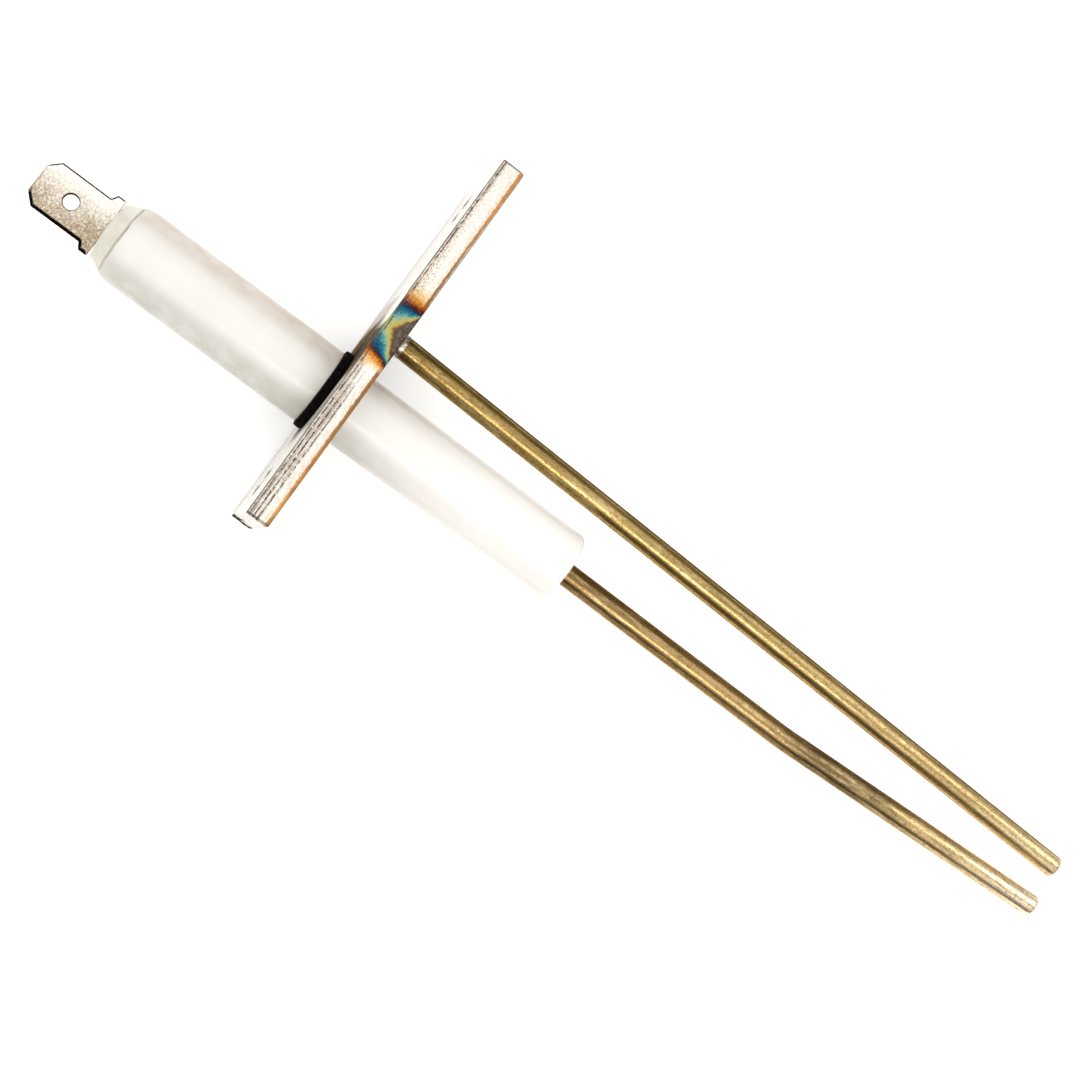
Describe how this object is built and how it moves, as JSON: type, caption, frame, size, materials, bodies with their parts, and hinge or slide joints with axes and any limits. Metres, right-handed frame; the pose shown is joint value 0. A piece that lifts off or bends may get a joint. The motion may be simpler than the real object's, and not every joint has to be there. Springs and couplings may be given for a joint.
{
  "type": "ignition electrode",
  "caption": "Burner ignition electrode: a white ceramic insulator in a steel mounting plate, a bent spark rod with a push-on terminal, and an earth rod welded to the plate.",
  "frame": {"origin": "on the insulator's axis, in the burner-side face of the mounting plate", "axes": "+X along the insulator, from the plate towards the rod tips; +Y along the plate, towards the earth rod; +Z across the plate"},
  "size_m": [0.1555, 0.051, 0.022],
  "materials": {
    "plate_steel": "punched steel, heat-tinted straw, purple and blue beside the earth rod",
    "washer_black": "matt black heat-proof sealing washer",
    "cement": "matt pale refractory cement",
    "insulator_ceramic": "satin warm white",
    "rod_wire": "drawn heat-resisting wire with an olive-gold oxide",
    "weld_metal": "oxidised weld metal",
    "terminal_metal": "plated, finely stippled"
  },
  "bodies": {
    "root": {"mounting_plate": "plate_steel", "seal_washer": "washer_black", "bond_ring": "cement", "ceramic_insulator": "insulator_ceramic", "front_cement": "cement", "rear_cement": "cement", "spark_rod": "rod_wire", "earth_rod": "rod_wire", "earth_rod_weld": "weld_metal", "terminal_tab": "terminal_metal", "tail_weld": "weld_metal"}
  },
  "joints": []
}
